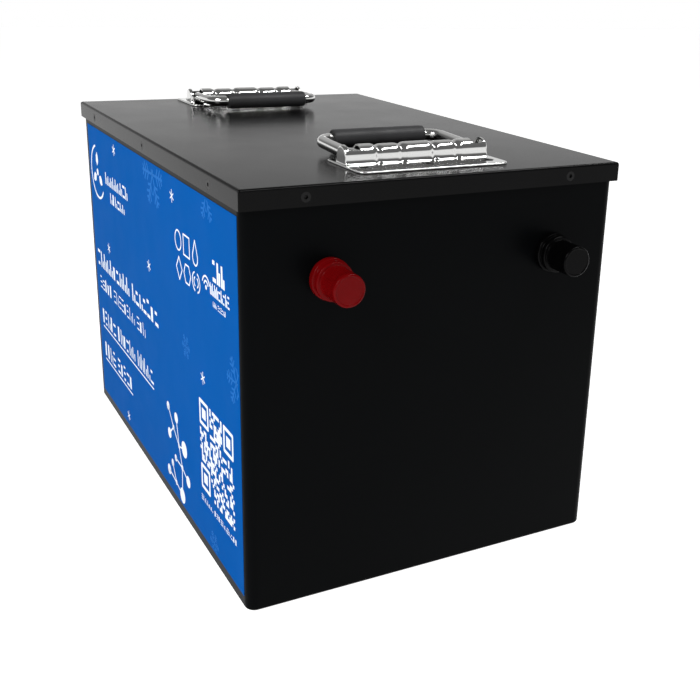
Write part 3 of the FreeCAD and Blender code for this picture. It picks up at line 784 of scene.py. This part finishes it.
def word_row(art, rng, left, right, bottom, height, weight, words):
    """Row of plain signs from left to right in words of the given lengths, in place of print."""
    gap, space = 0.22, 0.7
    count = sum(words)
    pitch = (right - left) / (count + space * (len(words) - 1) - gap)
    across = left
    for word in words:
        for place in range(word):
            tall = height if place == 0 or rng.random() < 0.5 else height * 0.8
            sign(art, rng, across, bottom, pitch * (1 - gap), tall, height * weight)
            across += pitch
        across += pitch * space


def draw_emblem(art):
    """Made-up mark: a ring with three leaves round a dot, and two rows of blocks beside it."""
    across, up = -158.0, 222.0
    art.disc(across, up, 3.0)
    for turn in (90, 210, 330):
        angle = math.radians(turn)
        reach = Vector((math.cos(angle), math.sin(angle)))
        centre = Vector((across, up))
        side = reach.orthogonal()
        leaf = ((5.5, 0), (9.5, 3.8), (14.0, 3.4), (17.5, 0), (14.0, -3.4), (9.5, -3.8))
        art.polygon([tuple(centre + reach * a + side * b) for a, b in leaf])
    art.arc(across, up, 22.5, 2.0, 100, 320)
    rng = random.Random(5)
    word_row(art, rng, -130.0, -58.0, 217.0, 10.0, 0.20, (9,))
    word_row(art, rng, -116.0, -70.0, 203.0, 9.0, 0.20, (6,))


def draw_print(art):
    """Rows of signs with their underlines: left, right, foot, height, stroke share, word lengths."""
    rng = random.Random(11)
    word_row(art, rng, -177.0, 16.0, 135.0, 14.5, 0.19, (10, 7))
    word_row(art, rng, -174.0, -24.0, 114.0, 11.0, 0.11, (5, 8, 3))
    word_row(art, rng, -173.0, -6.0, 80.5, 13.5, 0.15, (5, 6, 5))
    art.rectangle(-173.0, -6.0, 76.4, 77.6)
    word_row(art, rng, -172.0, -76.0, 48.5, 13.5, 0.15, (4, 5))
    art.rectangle(-172.0, -76.0, 44.4, 45.6)
    word_row(art, rng, 110.0, 182.0, 39.0, 4.0, 0.16, (6, 11))
    word_row(art, rng, 148.0, 170.0, 209.0, 14.0, 0.20, (3,))
    word_row(art, rng, 142.0, 178.0, 199.0, 8.0, 0.16, (9,))
    word_row(art, rng, 147.0, 171.0, 192.0, 3.6, 0.16, (3, 6))


def draw_symbols(art):
    """Six neutral outlines: ring, square, drop, diamond, hexagon and a pair of arcs; then two radio waves."""
    width, upper, lower = 1.2, 218.0, 198.5
    art.arc(76, upper, 6.8, width)
    art.path([(88, upper - 7), (101, upper - 7), (101, upper + 7), (88, upper + 7)], width, True)
    art.arc(113, upper - 3, 5.2, width, 150, 390)
    art.path([(108.5, upper - 0.4), (113, upper + 8.5), (117.5, upper - 0.4)], width)
    art.path([(70, lower), (76.5, lower - 8), (83, lower), (76.5, lower + 8)], width, True)
    sixths = [math.radians(60 * k) for k in range(6)]
    hexagon = [(94.5 + 7.4 * math.cos(turn), lower + 7.4 * math.sin(turn)) for turn in sixths]
    art.path(hexagon, width, True)
    for radius in (3.0, 6.4):
        art.arc(112, lower, radius, width, 100, 260, 18)
        art.arc(115, lower, radius, width, -80, 80, 18)
    art.disc(134, 201, 1.6)
    for radius in (4.2, 7.4):
        art.arc(134, 201, radius, 1.3, 20, 160, 18)


def draw_network(art):
    """Free-form net of dots and links in the lower middle of the label."""
    dots = {"a": (33, 79, 3.4), "b": (53, 77, 4.2), "c": (45, 66, 2.2), "d": (34, 57, 4.2),
            "e": (58, 56, 2.0), "f": (71, 59, 6.4), "g": (48, 42, 2.8), "h": (64, 41, 2.4),
            "i": (78, 36, 4.6), "j": (39, 34, 3.0), "k": (29, 24, 4.2), "l": (47, 21, 2.2),
            "m": (62, 17, 6.2)}
    links = ("ac", "cd", "ce", "be", "ef", "eh", "gh", "hi", "hm", "jl", "kl", "lm")
    for first, second in links:
        art.line(dots[first][:2], dots[second][:2], 1.3)
    for across, up, radius in dots.values():
        art.disc(across, up, radius)


def draw_square_code(art):
    """Made-up pattern of small squares with three ring corners; it holds no data."""
    left, bottom, cells, cell = 111.0, 49.0, 25, 2.72
    corners = ((0, cells - 7), (cells - 7, cells - 7), (0, 0))
    rng = random.Random(23)
    for column in range(cells):
        for row in range(cells):
            if any(c - 1 <= column <= c + 7 and r - 1 <= row <= r + 7 for c, r in corners):
                continue
            if rng.random() < 0.52:
                x, y = left + column * cell, bottom + row * cell
                art.rectangle(x, x + cell * 0.94, y, y + cell * 0.94)
    for column, row in corners:
        x, y, size = left + column * cell, bottom + row * cell, 7 * cell
        inset = size * 0.07
        near, far = inset, size - inset
        ring = [(x + near, y + near), (x + far, y + near), (x + far, y + far), (x + near, y + far)]
        art.path(ring, cell * 0.95, True)
        art.rectangle(x + size * 0.30, x + size * 0.70, y + size * 0.30, y + size * 0.70)


def build_label():
    """Three print pieces on the side label: pale snowflakes, white marks and the square pattern."""
    flakes = Artwork()
    places = ((18, 252, 25), (139, 261, 17), (85, 144, 9), (187, 155, 17), (135, 16, 9))
    for across, up, radius in places:
        snowflake(flakes, across, up, radius, radius * 0.075)
    flakes.piece("label_snowflakes", "label_pale")
    marks = Artwork()
    for across, up in ((-95, 251), (65, 246), (-133, 160), (-3, 179), (121, 134), (-95, 18)):
        asterisk(marks, across, up, 4.6)
    draw_emblem(marks)
    draw_print(marks)
    draw_symbols(marks)
    draw_network(marks)
    marks.piece("label_marks", "label_white")
    code = Artwork()
    draw_square_code(code)
    code.piece("label_square_code", "label_white")


# The scene ------------------------------------------------------------------------------------------
MATERIALS = make_materials()
aim_camera()
light_studio()
lay_floor()
finish_cad_nodes(MATERIALS)
for end in ("front", "rear"):
    build_plate(Handle(end))
    build_bail(Handle(end))
build_terminal("positive", "red_plastic")
build_terminal("negative", "black_plastic")
build_label()
